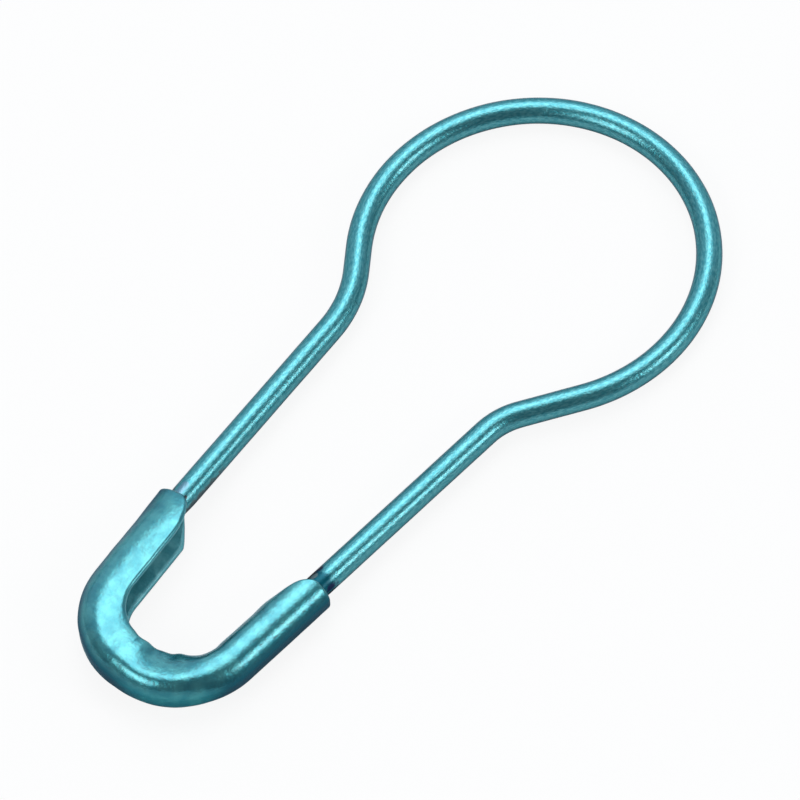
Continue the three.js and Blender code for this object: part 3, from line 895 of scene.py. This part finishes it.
def make_floor():
    """A pale floor that the pin lies on, touching the cap's open leg and the crown of the bulb."""
    rest_y = FOOT_LEVEL + OPEN_MOUTH_HEIGHT
    crown_y = PIN_LENGTH / 2 - WIRE_RADIUS
    tilt = math.atan2(WIRE_LEVEL - WIRE_RADIUS, crown_y - rest_y)
    sides = FLOOR_SIDES
    rings = [
        (FLOOR_RADIUS * 0.9, 0.0), (FLOOR_RADIUS, FLOOR_RIM * 0.3), (FLOOR_RADIUS * 1.03, FLOOR_RIM),
    ]
    vertices = [(0, 0, 0)]
    faces = []
    for reach, height in rings:
        for side in range(sides):
            angle = 2 * math.pi * side / sides
            vertices.append((reach * math.cos(angle), reach * math.sin(angle), height))
    for side in range(sides):
        ahead = (side + 1) % sides
        faces.append((0, 1 + side, 1 + ahead))
        for level in range(len(rings) - 1):
            low, high = 1 + level * sides, 1 + (level + 1) * sides
            faces.append((low + side, high + side, high + ahead, low + ahead))
    floor = new_piece("floor", vertices, faces=faces)
    floor.data.shade_smooth()
    slope = Matrix.Rotation(tilt, 4, "X")
    floor.data.transform(Matrix.Translation((0, rest_y, 0)) @ slope)
    floor.data.materials.append(floor_material())


def floor_material():
    material, tree, surface = new_material("pale floor")
    surface.inputs["Base Color"].default_value = (0.82, 0.82, 0.82, 1)
    surface.inputs["Roughness"].default_value = 0.9
    surface.inputs["Specular IOR Level"].default_value = 0.0
    path = tree.nodes.new("ShaderNodeLightPath").outputs
    mirrored = maths(tree, "MAXIMUM", path["Is Glossy Ray"], path["Is Transmission Ray"])
    white = add_node(tree, "ShaderNodeEmission", {"Color": (1, 1, 1, 1), "Strength": 1.0})
    seen = maths(tree, "MULTIPLY", path["Is Camera Ray"], FLOOR_SEEN)
    share = maths(tree, "ADD", seen, maths(tree, "MULTIPLY", mirrored, FLOOR_MIRRORED))
    mix = add_node(tree, "ShaderNodeMixShader", {0: share, 1: surface.outputs[0], 2: white.outputs[0]})
    tree.links.new(mix.outputs[0], tree.nodes["Material Output"].inputs["Surface"])
    return material


def place_camera():
    """The camera where the photograph's stood, as seen from the pin."""
    camera = bpy.data.objects.new("camera", bpy.data.cameras.new("camera"))
    bpy.context.scene.collection.objects.link(camera)
    camera.data.lens = LENS
    camera.data.sensor_width = SENSOR_WIDTH
    back = math.sin(PHOTO_ELEVATION) * UP - math.cos(PHOTO_ELEVATION) * AWAY
    upright = back.cross(SIDE)
    right = math.cos(PHOTO_ROLL) * SIDE + math.sin(PHOTO_ROLL) * upright
    up = math.cos(PHOTO_ROLL) * upright - math.sin(PHOTO_ROLL) * SIDE
    turn = Matrix((right, up, back)).transposed().to_4x4()
    camera.matrix_world = Matrix.Translation(AIM + CAMERA_DISTANCE * back) @ turn
    camera.data.clip_start = 0.01
    camera.data.clip_end = 10
    bpy.context.scene.camera = camera


def dress_pin():
    """The three pieces that show, in their CAD nodes' places: the bow and the cap on the pin's body, and
    the leg baked where it stands.
    """
    lacquer = lacquer_on_wire()
    bow = make_wire("bent_bow", bow_stations(), lacquer)
    leg = make_wire("pointed_leg", pin_leg_stations(), lacquer, BOW_LENGTH, TIP_RADIUS)
    cap = make_cap(lacquer_on_sheet())
    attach(bow, "pin_body")
    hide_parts("wire_bow")
    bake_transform(leg)
    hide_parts("pin_arm")
    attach(cap, "pin_body")
    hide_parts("cap")


dress_pin()
make_floor()
light_studio()
place_camera()
bpy.context.scene.view_settings.view_transform = "Standard"
